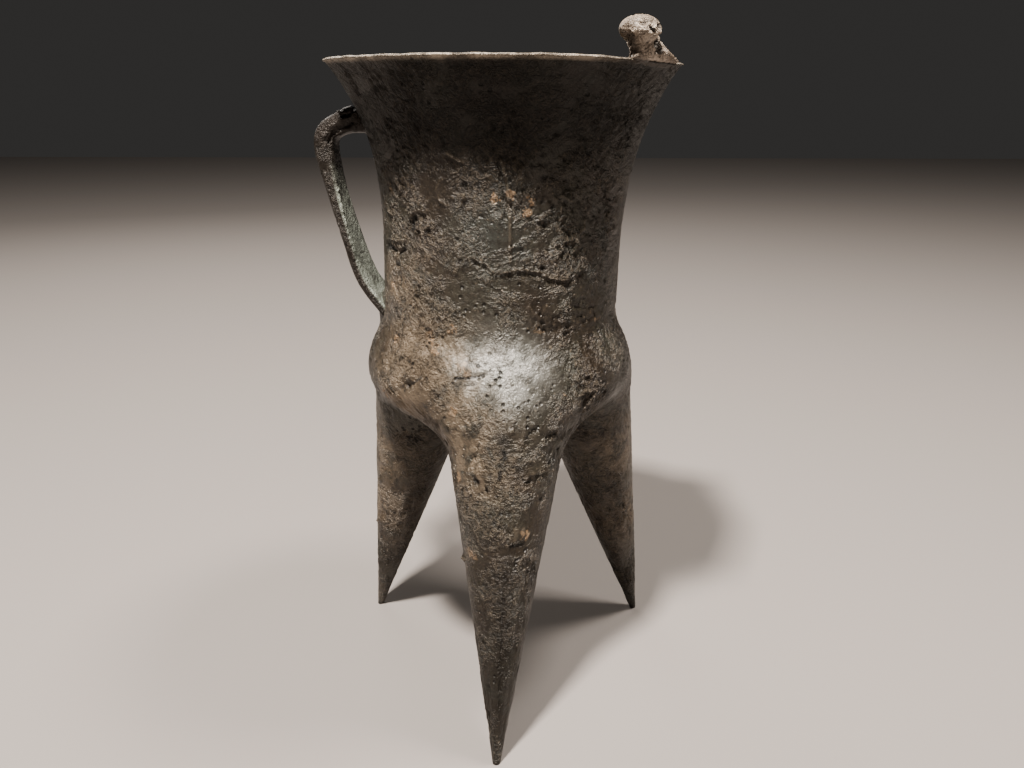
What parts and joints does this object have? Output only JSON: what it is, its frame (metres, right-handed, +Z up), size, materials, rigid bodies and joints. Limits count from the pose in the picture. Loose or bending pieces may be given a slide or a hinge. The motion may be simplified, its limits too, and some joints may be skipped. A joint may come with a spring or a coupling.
{
  "type": "bronze jia wine vessel",
  "caption": "Tall flared-mouth bronze wine vessel standing on pointed hollow pouch-shaped legs, with a strap handle and capped posts on the lip, for warming and pouring wine.",
  "frame": {"origin": "on the ground, under the middle of the footprint box", "axes": "+Z up, one leg towards -Y, the handle towards -X"},
  "size_m": [0.1788, 0.1766, 0.3369],
  "materials": {
    "bronze": "corroded dark grey-green and brown patina with earthy ochre spots"
  },
  "bodies": {
    "root": {"jia_vessel": "bronze"}
  },
  "joints": []
}
